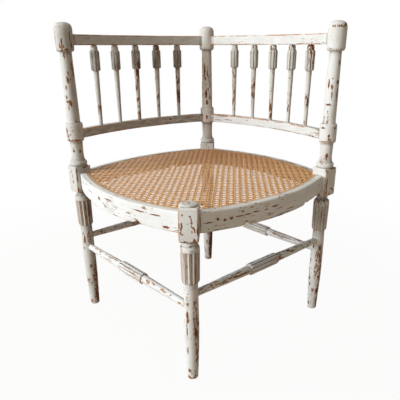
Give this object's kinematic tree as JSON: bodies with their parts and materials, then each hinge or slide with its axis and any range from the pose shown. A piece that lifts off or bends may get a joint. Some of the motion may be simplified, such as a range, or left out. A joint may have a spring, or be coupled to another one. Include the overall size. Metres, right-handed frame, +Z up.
{
  "type": "corner chair",
  "caption": "Wooden corner chair with turned fluted legs, bowed back rails on slim spindles, shaped seat rails, stretchers and a caned seat.",
  "frame": {"origin": "on the floor, at the centre of the square that the four uprights stand on", "axes": "+Z up; +Y toward the back post; -Y toward the front leg; +X to the right of someone who faces the chair"},
  "size_m": [0.7182, 0.6993, 0.773],
  "materials": {
    "painted_wood": "chipped matte paint",
    "cane": "satin"
  },
  "bodies": {
    "root": {"left_post": "painted_wood", "right_post": "painted_wood", "back_post": "painted_wood", "front_leg": "painted_wood", "front_left_seat_rail": "painted_wood", "front_left_stretcher": "painted_wood", "front_right_seat_rail": "painted_wood", "front_right_stretcher": "painted_wood", "back_left_seat_rail": "painted_wood", "back_left_stretcher": "painted_wood", "back_right_seat_rail": "painted_wood", "back_right_stretcher": "painted_wood", "back_left_lower_rail": "painted_wood", "back_left_top_rail": "painted_wood", "back_right_lower_rail": "painted_wood", "back_right_top_rail": "painted_wood", "back_left_spindle_1": "painted_wood", "back_left_spindle_2": "painted_wood", "back_left_spindle_3": "painted_wood", "back_left_spindle_4": "painted_wood", "back_left_spindle_5": "painted_wood", "back_right_spindle_1": "painted_wood", "back_right_spindle_2": "painted_wood", "back_right_spindle_3": "painted_wood", "back_right_spindle_4": "painted_wood", "back_right_spindle_5": "painted_wood", "cane_seat": "cane"}
  },
  "joints": []
}
